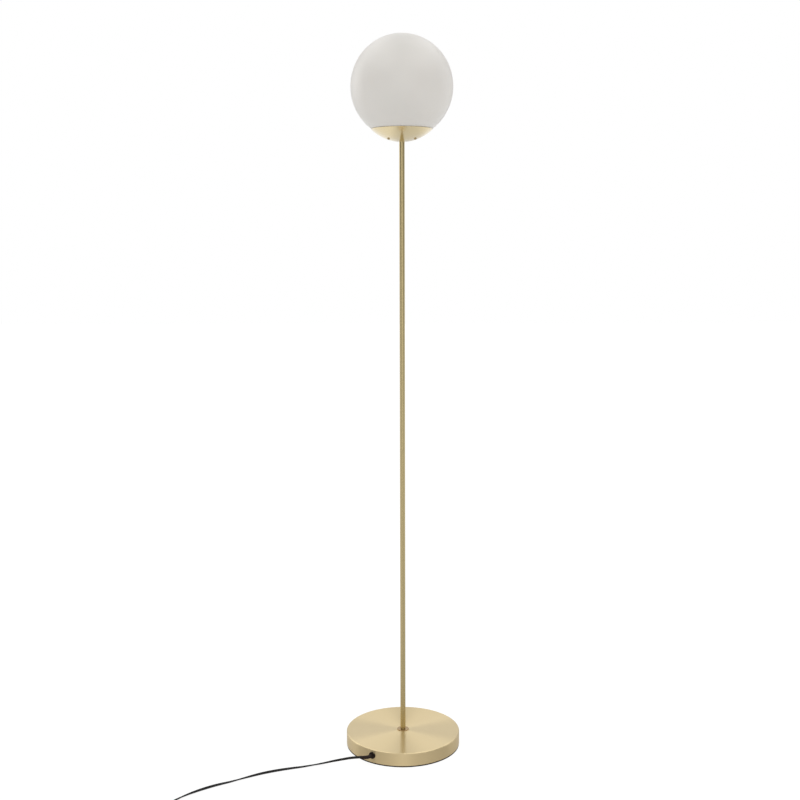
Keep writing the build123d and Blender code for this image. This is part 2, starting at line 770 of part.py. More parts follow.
with BuildPart() as switch_base:
    with BuildSketch(switch_plane):
        RectangleRounded(switch_length, switch_width, switch_corner_radius)
    extrude(amount=switch_parting)
    with BuildSketch(switch_plane.offset(switch_wall)):
        RectangleRounded(inner_length, inner_width, inner_corner)
    extrude(amount=switch_parting, mode=Mode.SUBTRACT)
    with BuildSketch(switch_plane):
        with Locations(*post_places):
            Circle(switch_post_diameter / 2)
    extrude(amount=switch_parting)
    with BuildSketch(entry_plane):
        Circle(cord_radius + bush_clearance)
    extrude(amount=switch_length, both=True, mode=Mode.SUBTRACT)
    with Locations(switch_plane):
        with Locations(*[(x, y, 0) for x, y in post_places]):
            with Locations(Rotation(180, 0, 0)):
                CounterSinkHole(
                    switch_screw_diameter / 2 + bush_clearance,
                    switch_screw_head / 2 + bush_clearance,
                    depth=switch_parting,
                )
switch_base.part.label = "switch_base"
export_step(switch_base.part, "parts/switch_base.step")

with BuildPart() as switch_cover:
    with BuildSketch(switch_plane.offset(switch_parting)):
        RectangleRounded(switch_length, switch_width, switch_corner_radius)
    extrude(amount=switch_height - switch_parting)
    fillet(switch_cover.faces().sort_by(Axis.Z)[-1].edges(), switch_edge_fillet)
    with BuildSketch(switch_plane.offset(switch_parting)):
        RectangleRounded(inner_length, inner_width, inner_corner)
    extrude(amount=switch_inner_top - switch_parting, mode=Mode.SUBTRACT)
    with BuildSketch(switch_plane.offset(switch_parting)):
        with Locations(*post_places):
            Circle(switch_post_diameter / 2)
    extrude(amount=switch_inner_top - switch_parting)
    with BuildSketch(switch_plane.offset(switch_parting)):
        with Locations(*post_places):
            Circle(switch_screw_diameter / 2 + thread_clearance)
    extrude(amount=switch_screw_length - switch_parting + hole_clearance, mode=Mode.SUBTRACT)
    with BuildSketch(switch_plane.offset(switch_height)):
        Circle(button_diameter / 2 + moving_gap)
    extrude(amount=-switch_wall, mode=Mode.SUBTRACT)
    with BuildSketch(entry_plane):
        Circle(cord_radius + bush_clearance)
    extrude(amount=switch_length, both=True, mode=Mode.SUBTRACT)
switch_cover.part.label = "switch_cover"
export_step(switch_cover.part, "parts/switch_cover.step")

with BuildPart() as switch_contacts:
    with BuildSketch(switch_plane.offset(switch_wall)):
        Rectangle(contact_block_length, contact_block_width)
    extrude(amount=contact_block_height)
switch_contacts.part.label = "switch_contacts"
export_step(switch_contacts.part, "parts/switch_contacts.step")

button_ceiling = button_height - button_wall
with BuildPart() as switch_button:
    with BuildSketch(switch_plane.offset(button_flange_bottom)):
        Circle(button_diameter / 2 + button_flange_width)
    extrude(amount=button_flange_thickness)
    with BuildSketch(switch_plane.offset(button_flange_bottom)):
        Circle(button_diameter / 2)
    extrude(amount=button_height - button_flange_bottom)
    fillet(switch_button.edges().sort_by(Axis.Z)[-1], button_fillet)
    with BuildSketch(switch_plane.offset(button_flange_bottom)):
        Circle(button_diameter / 2 - button_wall)
    extrude(amount=button_ceiling - button_flange_bottom, mode=Mode.SUBTRACT)
switch_button.part.label = "switch_button"
export_step(switch_button.part, "parts/switch_button.step")

spring_bottom = block_top + spring_wire / 2
spring_top = button_ceiling - spring_wire / 2 - moving_gap
with BuildPart() as switch_spring:
    with BuildLine() as spring_path:
        Helix(
            pitch=(spring_top - spring_bottom) / spring_turns,
            height=spring_top - spring_bottom,
            radius=spring_radius,
            center=(switch_x, switch_y, spring_bottom),
        )
    with BuildSketch(Plane(origin=spring_path.line @ 0, z_dir=spring_path.line % 0)):
        Circle(spring_wire / 2)
    sweep(path=spring_path.wire(), is_frenet=True)
switch_spring.part.label = "switch_spring"
export_step(switch_spring.part, "parts/switch_spring.step")

# Two countersunk screws hold the base to the cover's posts, as one group.
head_depth = (switch_screw_head - switch_screw_diameter) / 2
with BuildPart() as switch_screws:
    for x, y in post_places:
        with BuildSketch(Plane(origin=(switch_x + x, switch_y + y, 0), z_dir=(0, 0, 1))):
            Circle(switch_screw_head / 2)
        with BuildSketch(Plane(origin=(switch_x + x, switch_y + y, head_depth), z_dir=(0, 0, 1))):
            Circle(switch_screw_diameter / 2)
        loft()
        with BuildSketch(Plane(origin=(switch_x + x, switch_y + y, 0), z_dir=(0, 0, 1))):
            Circle(switch_screw_diameter / 2)
        extrude(amount=switch_screw_length)
switch_screws.part.label = "switch_screws"
export_step(switch_screws.part, "parts/switch_screws.step")

# ================================================================ link to the coil, and coil
coil_low = cord_radius + coil_lift
coil_high = coil_low + coil_pitch
link_points = [
    (switch_x + block_half, switch_y, switch_parting),
    (-277.0, switch_y, switch_parting),
    (-257.0, switch_y, coil_low),
    (-240.0, switch_y, coil_low),
]
link_radii = corner_radii(link_points)
print("link radii", [round(radius) for radius in link_radii])
with BuildPart() as cord_link:
    with BuildLine() as link_path:
        FilletPolyline(*link_points, radius=link_radii)
    with BuildSketch(Plane(origin=link_points[0], z_dir=(1, 0, 0))):
        Circle(cord_radius)
    sweep(path=link_path.wire())
cord_link.part.label = "cord_link"
export_step(cord_link.part, "parts/cord_link.step")
report_tube("cord_link", cord_link.part, link_path.wire())

coil_outer_radius = coil_inner_radius + coil_pitch * coil_layer_turns
coil_start = Vector(*link_points[-1])
coil_x = coil_start.X + cord_width
coil_y = coil_start.Y - coil_outer_radius
coil_turns = 2 * coil_layer_turns
quarter = 0.25
tangent_step = 0.001


def coil_point(turn):
    """The coil's centreline: clockwise in along the floor, up a layer, and out again on top."""
    past_middle = turn - coil_layer_turns
    radius = coil_inner_radius + coil_pitch * abs(past_middle)
    climb = min(max(past_middle / coil_climb_turns + 0.5, 0), 1)
    angle = radians(90 - 360 * turn)
    return Vector(
        coil_x + radius * cos(angle),
        coil_y + radius * sin(angle),
        coil_low + coil_pitch * climb * climb * (3 - 2 * climb),
    )


def coil_tangent(turn):
    """The coil's direction there; its two ends are square to its radius."""
    if turn in (0, coil_turns):
        angle = radians(-360 * turn)
        return Vector(cos(angle), sin(angle), 0)
    return (coil_point(turn + tangent_step) - coil_point(turn - tangent_step)).normalized()


def biarc_joint(start, start_tangent, end, end_tangent):
    """The point where two arcs that leave start and reach end along their tangents join."""
    chord = end - start
    both = start_tangent + end_tangent
    spread = 2 * (1 - start_tangent.dot(end_tangent))
    along = chord.dot(both)
    reach = (sqrt(along**2 + spread * chord.dot(chord)) - along) / spread
    return (start + start_tangent * reach + end - end_tangent * reach) * 0.5


def least_gap(path, apart, step):
    """The least gap between a tube's own surfaces, on points more than apart along it."""
    count = int(path.length / step)
    points = [tuple(path @ (number / count)) for number in range(count + 1)]
    skip = int(apart / step)
    least = path.length
    for number, (x, y, z) in enumerate(points):
        for other in points[number + skip :]:
            distance = sqrt((x - other[0]) ** 2 + (y - other[1]) ** 2 + (z - other[2]) ** 2)
            least = min(least, distance)
    return least - cord_width


coil_end = coil_point(coil_turns) + coil_tangent(coil_turns) * cord_width
with BuildPart() as cord_coil:
    with BuildLine() as coil_path:
        Line(coil_start, coil_point(0))
        for number in range(round(coil_turns / quarter)):
            here = coil_point(number * quarter)
            there = coil_point((number + 1) * quarter)
            leaving = coil_tangent(number * quarter)
            joint = biarc_joint(here, leaving, there, coil_tangent((number + 1) * quarter))
            first_arc = TangentArc(here, joint, tangent=leaving)
            TangentArc(joint, there, tangent=first_arc % 1)
        Line(coil_point(coil_turns), coil_end)
    with BuildSketch(Plane(origin=coil_start, z_dir=coil_tangent(0))):
        Circle(cord_radius)
    sweep(path=coil_path.wire())
cord_coil.part.label = "cord_coil"
export_step(cord_coil.part, "parts/cord_coil.step")
report_tube("cord_coil", cord_coil.part, coil_path.wire())
coil_gap = least_gap(coil_path.wire(), apart=pi * coil_inner_radius, step=1.5)
print(f"cord_coil: least gap to itself {coil_gap:.2f}")

# The tie goes round all the turns on the coil's right side.
bundle_inner = coil_inner_radius + coil_pitch * quarter * 2 - cord_radius - tie_gap
bundle_outer = coil_outer_radius - coil_pitch * quarter + cord_radius + tie_gap
bundle_height = coil_pitch + cord_width + 2 * tie_gap
bundle_width = bundle_outer - bundle_inner
tie_origin = (coil_x + (bundle_inner + bundle_outer) / 2, coil_y, coil_low + coil_pitch / 2)
tie_corner = cord_radius + tie_gap
with BuildPart() as coil_tie:
    with BuildSketch(Plane(origin=tie_origin, x_dir=(1, 0, 0), z_dir=(0, 1, 0))):
        RectangleRounded(
            bundle_width + 2 * tie_thickness,
            bundle_height + 2 * tie_thickness,
            tie_corner + tie_thickness,
        )
        RectangleRounded(bundle_width, bundle_height, tie_corner, mode=Mode.SUBTRACT)
    extrude(amount=tie_width / 2, both=True)
coil_tie.part.label = "coil_tie"
export_step(coil_tie.part, "parts/coil_tie.step")

# ================================================================ tail and plug
plug_axis = plug_thickness / 2
plug_y = coil_end.Y
tail_points = [
    tuple(coil_end),
    (-252.0, plug_y, coil_high),
    (-268.0, plug_y, plug_axis),
    (-280.0, plug_y, plug_axis),
]
tail_radii = corner_radii(tail_points)
print("tail radii", [round(radius) for radius in tail_radii])
with BuildPart() as cord_tail:
    with BuildLine() as tail_path:
        FilletPolyline(*tail_points, radius=tail_radii)
    with BuildSketch(Plane(origin=tail_points[0], z_dir=(-1, 0, 0))):
        Circle(cord_radius)
    sweep(path=tail_path.wire())
cord_tail.part.label = "cord_tail"
export_step(cord_tail.part, "parts/cord_tail.step")
report_tube("cord_tail", cord_tail.part, tail_path.wire())

plug_back = tail_points[-1][0] - plug_relief_length
plug_front = plug_back - plug_length
plug_shoulder = plug_back - plug_shoulder_length
front_plane = Plane(origin=(plug_front, plug_y, plug_axis), x_dir=(0, 1, 0), z_dir=(-1, 0, 0))
with BuildPart() as plug_body:
    with BuildSketch():
        Polygon(
            (plug_back, plug_y - plug_back_width / 2),
            (plug_back, plug_y + plug_back_width / 2),
            (plug_shoulder, plug_y + plug_width / 2),
            (plug_front, plug_y + plug_width / 2),
            (plug_front, plug_y - plug_width / 2),
            (plug_shoulder, plug_y - plug_width / 2),
            align=None,
        )
    extrude(amount=plug_thickness)
    fillet(plug_body.edges().filter_by(Axis.Z).group_by(Axis.X)[1], plug_corner_radius)
    fillet(plug_body.faces().filter_by(Axis.Z).edges(), plug_fillet)
    with BuildSketch(Plane(origin=tail_points[-1], z_dir=(-1, 0, 0))):
        Circle(plug_relief_tip_diameter / 2)
    with BuildSketch(Plane(origin=(plug_back, plug_y, plug_axis), z_dir=(-1, 0, 0))):
        Circle(plug_relief_root_diameter / 2)
    loft()
    with BuildSketch(front_plane):
        with Locations((-pin_spacing / 2, 0), (pin_spacing / 2, 0)):
            Circle(pin_diameter / 2 + thread_clearance)
    extrude(amount=-pin_embedment, mode=Mode.SUBTRACT)
plug_body.part.label = "plug_body"
export_step(plug_body.part, "parts/plug_body.step")

for name, side in (("plug_pin_left", -1), ("plug_pin_right", 1)):
    with BuildPart() as pin:
        with BuildSketch(front_plane.offset(-pin_embedment)):
            with Locations((side * pin_spacing / 2, 0)):
                Circle(pin_diameter / 2)
        extrude(amount=pin_embedment + pin_length)
        fillet(pin.edges().sort_by(Axis.X)[0], pin_fillet)
    pin.part.label = name
    export_step(pin.part, f"parts/{name}.step")
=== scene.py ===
import json
from math import cos, pi, radians, sin

import bmesh
import bpy
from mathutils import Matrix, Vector


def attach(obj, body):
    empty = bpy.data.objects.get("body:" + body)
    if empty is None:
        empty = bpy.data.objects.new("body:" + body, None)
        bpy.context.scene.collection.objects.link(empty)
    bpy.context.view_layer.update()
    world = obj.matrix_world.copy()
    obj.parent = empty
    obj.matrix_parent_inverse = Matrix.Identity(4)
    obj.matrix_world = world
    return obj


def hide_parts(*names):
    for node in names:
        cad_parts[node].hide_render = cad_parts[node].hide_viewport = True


# The look of the globe floor lamp, built round its CAD frame. Lengths are in metres.
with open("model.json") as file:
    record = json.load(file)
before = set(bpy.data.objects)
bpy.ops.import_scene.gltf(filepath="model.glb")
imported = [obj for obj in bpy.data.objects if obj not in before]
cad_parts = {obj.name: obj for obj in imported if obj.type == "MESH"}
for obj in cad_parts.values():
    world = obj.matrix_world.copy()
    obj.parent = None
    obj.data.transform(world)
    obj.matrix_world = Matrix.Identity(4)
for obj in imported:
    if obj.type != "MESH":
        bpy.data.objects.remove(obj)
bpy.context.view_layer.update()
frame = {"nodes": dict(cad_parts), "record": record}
nodes = frame["nodes"]

# ---------------------------------------------------------------- driving values
image_pixels = 800
focal_pixels = 1150.0
sensor_width_mm = 36.0
camera_place = (-0.0039, -2.150, 0.969)
camera_tilt = 82.31
camera_roll = 0.12

# The world in reflections is the brightest of three parts: low down, by how far a direction points to the
# side times how far it points to the back; high up, by the side again, which comes in with the height; and
# far to both sides behind the lamp, by x, which comes in towards the back. As a light the world is even.
side_levels = [(0.0, 1.0), (0.1, 0.97), (0.26, 0.80), (0.5, 0.56), (0.8, 0.47), (1.0, 0.48)]
back_levels = [(-1.0, 1.8), (-0.97, 1.5), (-0.88, 0.68), (-0.6, 0.52), (-0.2, 0.57), (0.3, 1.0), (1.0, 1.0)]
high_levels = [(0.0, 0.82), (0.14, 0.87), (0.3, 1.55), (0.6, 1.65), (1.0, 1.3)]
high_fade = [(-1.0, 0.0), (0.35, 0.0), (0.65, 1.0), (1.0, 1.0)]
rear_levels = [(-1.0, 1.5), (-0.64, 1.6), (-0.46, 0.0), (0.46, 0.0), (0.64, 1.1), (1.0, 0.9)]
rear_fade = [(-1.0, 0.0), (0.0, 0.0), (0.25, 1.0), (1.0, 1.0)]
even_level = (0.88, 0.88, 0.88)
# The floor in reflections is painted shade: painted greys by x far from the base, and close to it a
# warm-tinted painted shadow graded by the direction from the base.
floor_far_painted_shade_levels = [(-1.0, 1.0), (-0.45, 0.97), (-0.15, 0.76), (0.1, 0.72), (0.6, 0.76), (1.2, 1.0)]
floor_near_painted_shade_levels = [(-1.0, 0.74), (-0.92, 0.71), (-0.8, 0.65), (-0.5, 0.57), (0.1, 0.62), (1.0, 0.70)]
floor_near_painted_shade_tint = (1.0, 0.95, 0.87)
floor_near_reach = 0.16
floor_far_reach = 0.26

# The flat cord, and the heights of its line on the floor, where it hangs free, at the switch and at the plug.
cord_width = 0.0046
cord_thickness = 0.0025
cord_groove = 0.00022
cord_groove_slope = 0.7
cord_floor_height = 0.0025
cord_free_height = 0.0065
switch_line_height = 0.0085
plug_line_height = 0.00685
switch_line_y = -0.3140
line_steps_per_point = 8
# Along the lead: where it stands on its edge, its half turns before and after that, and its flat end.
cord_edge_at = 0.198
cord_first_half_turn = 0.165
cord_half_turn = 0.117
cord_flat_end = 0.10

# The coil in two layers, with the strap round it.
coil_pitch = 0.0055
coil_layer_turns = 3.75
coil_climb_turns = 0.5
coil_inner_radius = 0.0195
coil_outer_radius = coil_inner_radius + coil_pitch * coil_layer_turns
coil_points_per_turn = 16
coil_centre_x = -0.235
coil_centre = Vector((coil_centre_x, switch_line_y - coil_outer_radius, 0.0))
coil_layer_gap = 0.0001
tie_thickness = 0.0008
tie_gap = 0.0002
tie_width = 0.006
tie_corner_steps = 6
tie_bevel = 0.00018
tie_sharp_angle = 60
# Where the lapped end starts and stops, as shares of half the strap's reach from its middle.
tie_lap_ends = (0.45, -0.35)
coil_low = cord_thickness / 2 + tie_thickness + tie_gap
coil_high = coil_low + cord_thickness + coil_layer_gap

# What the camera sees of the floor, its own light and a faint shadow, and what it gives as a light.
floor_glow = 0.86
floor_shadow_share = (0.22, 0.22, 0.22)
floor_as_light = (0.90, 0.90, 0.90)
floor_half_size = 12.0
floor_drop = 0.0002


def linear(red, green, blue):
    """A colour seen on the screen, from 0 to 255, as the linear colour that a shader takes."""
    return tuple(((value / 255 + 0.055) / 1.055) ** 2.4 for value in (red, green, blue))


# ---------------------------------------------------------------- materials
def new_material(name, colour, roughness, **inputs):
    """A principled material; further inputs are given by their names, with _ for a space."""
    material = bpy.data.materials.new(name)
    material.use_nodes = True
    shader = material.node_tree.nodes["Principled BSDF"]
    shader.inputs["Base Color"].default_value = (*colour, 1.0)
    shader.inputs["Roughness"].default_value = roughness
    for socket, value in inputs.items():
        shader.inputs[socket.replace("_", " ")].default_value = value
    return material, shader


def add_node(material, kind, **settings):
    """A node of that kind, with its settings."""
    node = material.node_tree.nodes.new(kind)
    for name, value in settings.items():
        setattr(node, name, value)
    return node


def noise_on(material, vector, scale, detail):
    """Noise on a vector: its factor, from 0 to 1."""
    noise = add_node(material, "ShaderNodeTexNoise")
    noise.inputs["Scale"].default_value = scale
    noise.inputs["Detail"].default_value = detail
    material.node_tree.links.new(vector, noise.inputs["Vector"])
    return noise.outputs["Fac"]


def object_space(material, scale=(1, 1, 1)):
    """Object coordinates, scaled along each axis."""
    place = add_node(material, "ShaderNodeTexCoord")
    mapping = add_node(material, "ShaderNodeMapping")
    mapping.inputs["Scale"].default_value = scale
    material.node_tree.links.new(place.outputs["Object"], mapping.inputs["Vector"])
    return mapping.outputs["Vector"]


def turned(material):
    """Coordinates that are alike all round the Z axis: the radius and the height."""
    links = material.node_tree.links
    place = add_node(material, "ShaderNodeTexCoord")
    flat = add_node(material, "ShaderNodeVectorMath", operation="MULTIPLY")
    flat.inputs[1].default_value = (1, 1, 0)
    links.new(place.outputs["Object"], flat.inputs[0])
    radius = add_node(material, "ShaderNodeVectorMath", operation="LENGTH")
    links.new(flat.outputs["Vector"], radius.inputs[0])
    split = add_node(material, "ShaderNodeSeparateXYZ")
    links.new(place.outputs["Object"], split.inputs[0])
    joined = add_node(material, "ShaderNodeCombineXYZ")
    links.new(radius.outputs["Value"], joined.inputs["X"])
    links.new(split.outputs["Z"], joined.inputs["Z"])
    return joined.outputs["Vector"]


def add_bump(material, shader, height, strength, distance):
    """Raise the surface by a height factor."""
    bump = add_node(material, "ShaderNodeBump")
    bump.inputs["Strength"].default_value = strength
    bump.inputs["Distance"].default_value = distance
    material.node_tree.links.new(height, bump.inputs["Height"])
    material.node_tree.links.new(bump.outputs["Normal"], shader.inputs["Normal"])


def vary_roughness(material, shader, factor, low, high, factor_low=0.3, factor_high=0.7):
    """Let a factor move the roughness between two values."""
    spread = add_node(material, "ShaderNodeMapRange")
    spread.inputs["From Min"].default_value = factor_low
    spread.inputs["From Max"].default_value = factor_high
    spread.inputs["To Min"].default_value = low
    spread.inputs["To Max"].default_value = high
    material.node_tree.links.new(factor, spread.inputs["Value"])
    material.node_tree.links.new(spread.outputs["Result"], shader.inputs["Roughness"])


def vary_colour(material, shader, factor, first, second, factor_low=0.35, factor_high=0.65):
    """Let a factor move the colour between two values."""
    ramp = add_node(material, "ShaderNodeValToRGB")
    ramp.color_ramp.elements[0].position = factor_low
    ramp.color_ramp.elements[0].color = (*first, 1.0)
    ramp.color_ramp.elements[1].position = factor_high
    ramp.color_ramp.elements[1].color = (*second, 1.0)
    material.node_tree.links.new(factor, ramp.inputs["Fac"])
    material.node_tree.links.new(ramp.outputs["Color"], shader.inputs["Base Color"])


def brushed_brass(name, colour, roughness, anisotropy, **inputs):
    """Pale satin brass, turned round the Z axis: its lines spread a highlight across themselves."""
    material, shader = new_material(
        name, colour, roughness, Metallic=1.0, Anisotropic=anisotropy, Anisotropic_Rotation=0.25, **inputs
    )
    tangent = add_node(material, "ShaderNodeTangent", direction_type="RADIAL", axis="Z")
    material.node_tree.links.new(tangent.outputs["Tangent"], shader.inputs["Tangent"])
    place = turned(material)
    lines = noise_on(material, place, scale=2400, detail=3)
    add_bump(material, shader, lines, strength=0.04, distance=0.00001)
    bands = noise_on(material, place, scale=160, detail=2)
    vary_roughness(material, shader, bands, low=roughness - 0.01, high=roughness + 0.01)
    return material


def moulded(name, colour, roughness, grain_scale, grain_height, **inputs):
    """Moulded plastic or rubber with a fine grain."""
    material, shader = new_material(name, colour, roughness, **inputs)
    grain = noise_on(material, object_space(material), grain_scale, detail=5)
    add_bump(material, shader, grain, strength=0.4, distance=grain_height)
    wear = noise_on(material, object_space(material), scale=60, detail=3)
    vary_roughness(material, shader, wear, low=roughness - 0.05, high=roughness + 0.06)
    return material


def plain_metal(name, colour, roughness, streak=(1, 1, 12)):
    """Drawn or plated metal with faint streaks."""
    material, shader = new_material(name, colour, roughness, Metallic=1.0)
    streaks = noise_on(material, object_space(material, streak), scale=420, detail=4)
    add_bump(material, shader, streaks, strength=0.15, distance=0.00002)
    vary_roughness(material, shader, streaks, low=roughness - 0.06, high=roughness + 0.08)
    return material


def opal_glass():
    """Acid-etched opal glass: white all through, with a soft sheen."""
    material, shader = new_material("opal_glass", linear(227, 222, 215), roughness=0.42)
    shader.inputs["Subsurface Weight"].default_value = 0.25
    shader.inputs["Subsurface Radius"].default_value = (0.012, 0.011, 0.010)
    shader.inputs["Subsurface Scale"].default_value = 0.6
    shader.inputs["Coat Weight"].default_value = 0.65
    shader.inputs["Coat Roughness"].default_value = 0.42
    etch = noise_on(material, object_space(material), scale=900, detail=4)
    add_bump(material, shader, etch, strength=0.10, distance=0.00003)
    clouds = noise_on(material, object_space(material), scale=9, detail=3)
    vary_colour(material, shader, clouds, linear(228, 223, 216), linear(225, 221, 214))
    return material


brass = brushed_brass("satin_brass", linear(221, 202, 160), 0.32, 1.0)
cup_brass = brushed_brass("cup_brass", linear(226, 209, 167), 0.20, 0.70, Coat_Weight=0.8, Coat_Roughness=0.2)
# The pole's brass is a darker, more olive copy of the same brass: painted shade, which also darkens its
# reflection on the base.
pole_brass_painted_shade = brushed_brass("pole_brass_painted_shade", linear(186, 170, 127), 0.22, 0.95)
# The collar's brass is a darker, browner copy of the same brass: painted shade for the dark ring at the
# pole's foot.
collar_brass_painted_shade = brushed_brass("collar_brass_painted_shade", linear(168, 142, 104), 0.18, 0.6)
dark_brass = plain_metal("dark_brass", linear(188, 168, 130), 0.40)
bright_brass = plain_metal("contact_brass", linear(205, 176, 112), 0.22)
zinc = plain_metal("zinc_steel", linear(186, 188, 190), 0.36)
spring = plain_metal("spring_steel", linear(160, 161, 164), 0.30, (12, 12, 1))
nickel = plain_metal("pin_nickel", linear(214, 211, 205), 0.18, (1, 12, 12))
aluminium = plain_metal("bulb_metal", linear(205, 206, 208), 0.30)
cast_iron = moulded("cast_iron", linear(92, 92, 94), 0.70, 260, 0.0004, Metallic=0.6)
rubber = moulded("black_rubber", linear(32, 19, 13), 0.65, 700, 0.00006, Specular_IOR_Level=0.25)
cord_black = moulded("cord_black", linear(20, 18, 17), 0.52, 500, 0.00002, Specular_IOR_Level=0.3)
dark_plastic = moulded("dark_plastic", linear(40, 39, 39), 0.48, 900, 0.00005)
switch_black = moulded("switch_black", linear(36, 36, 37), 0.36, 1400, 0.00006)
ceramic = moulded("white_ceramic", linear(232, 229, 221), 0.25, 300, 0.00003)
bulb_white = moulded("bulb_white", linear(238, 237, 233), 0.45, 600, 0.00002)
# The seat ring is amber, not clear: painted shade with a brass tint for the line between the glass and the
# cup's rim.
silicone_painted_shade = moulded("clear_silicone", linear(196, 172, 128), 0.35, 300, 0.00003)
glass_white = opal_glass()

finishes = {
    "satin_brass": brass,
    "dark_brass": dark_brass,
    "contact_brass": bright_brass,
    "zinc_steel": zinc,
    "spring_steel": spring,
    "pin_nickel": nickel,
    "bulb_metal": aluminium,
    "cast_iron": cast_iron,
    "black_rubber": rubber,
    "cord_black": cord_black,
    "dark_plastic": dark_plastic,
    "switch_black": switch_black,
    "white_ceramic": ceramic,
    "bulb_white": bulb_white,
    "clear_silicone": silicone_painted_shade,
    "opal_glass": glass_white,
}
for subpart in frame["record"]["subparts"]:
    mesh = nodes[subpart["node"]].data
    mesh.materials.clear()
    mesh.materials.append(finishes[subpart["material_slot"]])
nodes["globe_cup"].data.materials[0] = cup_brass
nodes["foot_collar"].data.materials[0] = collar_brass_painted_shade
for name in ("pole_lower", "pole_middle", "pole_upper"):
    nodes[name].data.materials[0] = pole_brass_painted_shade


# ---------------------------------------------------------------- free cords
def smooth_path(name, points):
    """Points along the NURBS line that has these control points."""
    curve = bpy.data.curves.new(name, "CURVE")
    curve.dimensions = "3D"
    curve.resolution_u = line_steps_per_point
    spline = curve.splines.new("NURBS")
    spline.points.add(len(points) - 1)
    for target, point in zip(spline.points, points):
        target.co = (*point, 1.0)
    spline.order_u = 3
    spline.use_endpoint_u = True
    holder = bpy.data.objects.new(name, curve)
    line = bpy.data.meshes.new_from_object(holder)
    path = [vertex.co.copy() for vertex in line.vertices]
    bpy.data.objects.remove(holder)
    bpy.data.meshes.remove(line)
    return path


def distances(path):
    """The length along the path up to each of its points."""
    total = 0.0
    along = [total]
    for before, after in zip(path, path[1:]):
        total += (after - before).length
        along.append(total)
    return along


def cord_section(steps=10):
    """The flat cord's outline: two round sides, and a shallow groove along each flat face."""
    radius = cord_thickness / 2
    reach = cord_width / 2 - radius
    groove_edge = reach / 3
    groove_height = radius - cord_groove * cord_groove_slope
    outline = []
    for side in (1, -1):
        for step in range(steps + 1):
            angle = -pi / 2 + pi * step / steps
            outline.append((side * (reach + radius * cos(angle)), side * radius * sin(angle)))
        outline.append((side * groove_edge, side * groove_height))
        outline.append((0.0, side * (radius - cord_groove)))
        outline.append((-side * groove_edge, side * groove_height))
    return outline


def support(twist):
    """How high the middle of the flat cord lies over what it rests on, at that twist."""
    radius = cord_thickness / 2
    return radius + (cord_width / 2 - radius) * abs(sin(twist))


def skin(mesh, rings, closed=False):
    """Faces from each ring of points to the next: closed joins the last to the first, else both end flat."""
    pairs = list(zip(rings, rings[1:]))
    if closed:
        pairs.append((rings[-1], rings[0]))
    for ring, following in pairs:
        for number in range(len(ring)):
            beside = (number + 1) % len(ring)
            mesh.faces.new((ring[number], following[number], following[beside], ring[beside]))
    if not closed:
        mesh.faces.new(rings[0])
        mesh.faces.new(reversed(rings[-1]))


def flat_cord(name, path, twists):
    """A mesh of the flat cord along a path, turned about its own line by a twist at each point."""
    outline = cord_section()
    mesh = bmesh.new()
    rings = []
    for number, (point, twist) in enumerate(zip(path, twists)):
        before = path[max(number - 1, 0)]
        after = path[min(number + 1, len(path) - 1)]
        along = (after - before).normalized()
        level = along.cross(Vector((0, 0, 1))).normalized()
        upward = level.cross(along)
        across = level * cos(twist) + upward * sin(twist)
        over = upward * cos(twist) - level * sin(twist)
        rings.append([mesh.verts.new(point + across * u + over * v) for u, v in outline])
    skin(mesh, rings)
    bmesh.ops.recalc_face_normals(mesh, faces=mesh.faces)
    return finish_mesh(name, mesh, cord_black)


def finish_mesh(name, mesh, material):
    """Put a mesh into the scene as an object with smooth faces and one material."""
    data = bpy.data.meshes.new(name)
    mesh.to_mesh(data)
    mesh.free()
    data.materials.append(material)
    for face in data.polygons:
        face.use_smooth = True
    piece = bpy.data.objects.new(name, data)
    bpy.context.scene.collection.objects.link(piece)
    return piece


# The stretch from the sleeve to the foot switch twists slowly as it lies on the floor.
lead_points = [
    (-0.0774, -0.0997, 0.0156),
    (-0.0942, -0.0976, 0.0141),
    (-0.1135, -0.0963, 0.0100),
    (-0.1320, -0.0958, 0.0062),
    (-0.1520, -0.0985, 0.0032),
    (-0.1800, -0.1065, cord_floor_height),
    (-0.2170, -0.1185, cord_floor_height),
    (-0.2570, -0.1352, cord_floor_height),
    (-0.2980, -0.1600, cord_floor_height),
    (-0.3370, -0.1820, cord_floor_height),
    (-0.3680, -0.2055, cord_floor_height),
    (-0.3920, -0.2270, cord_floor_height),
    (-0.4080, -0.2470, cord_floor_height),
    (-0.4125, -0.2720, cord_floor_height),
    (-0.4015, -0.2950, cord_floor_height),
    (-0.3820, -0.3090, 0.0050),
    (-0.3610, switch_line_y, switch_line_height),
    (-0.3410, switch_line_y, switch_line_height),
]
lead_path = smooth_path("lead_line", lead_points)
lead_along = distances(lead_path)
lead_length = lead_along[-1]
last_twist = round((lead_length - cord_edge_at) / cord_half_turn - 0.5) + 0.5
lead_twists = []
for number, distance in enumerate(lead_along):
    half_turn = cord_half_turn if distance > cord_edge_at else cord_first_half_turn
    twist = (distance - cord_edge_at) / half_turn
    if distance > lead_length - cord_flat_end:
        twist = min(twist, last_twist)
    lead_twists.append(pi * twist + pi / 2)
    point = lead_path[number]
    lying = min(max((cord_free_height - point.z) / (cord_free_height - cord_floor_height), 0), 1)
    point.z -= lying * (cord_floor_height - support(lead_twists[-1]))
cord_lead = flat_cord("flex_lead", lead_path, lead_twists)
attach(cord_lead, "stand")
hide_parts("cord_lead")


def coil_place(turn):
    """The flat cord's line in the coil: clockwise in along the floor, up a layer and out again."""
    past_middle = turn - coil_layer_turns
    radius = coil_inner_radius + coil_pitch * abs(past_middle)
    climb = min(max(past_middle / coil_climb_turns + 0.5, 0), 1)
    height = coil_low + (coil_high - coil_low) * climb * climb * (3 - 2 * climb)
    angle = radians(90 - 360 * turn)
    return coil_centre + Vector((radius * cos(angle), radius * sin(angle), height))


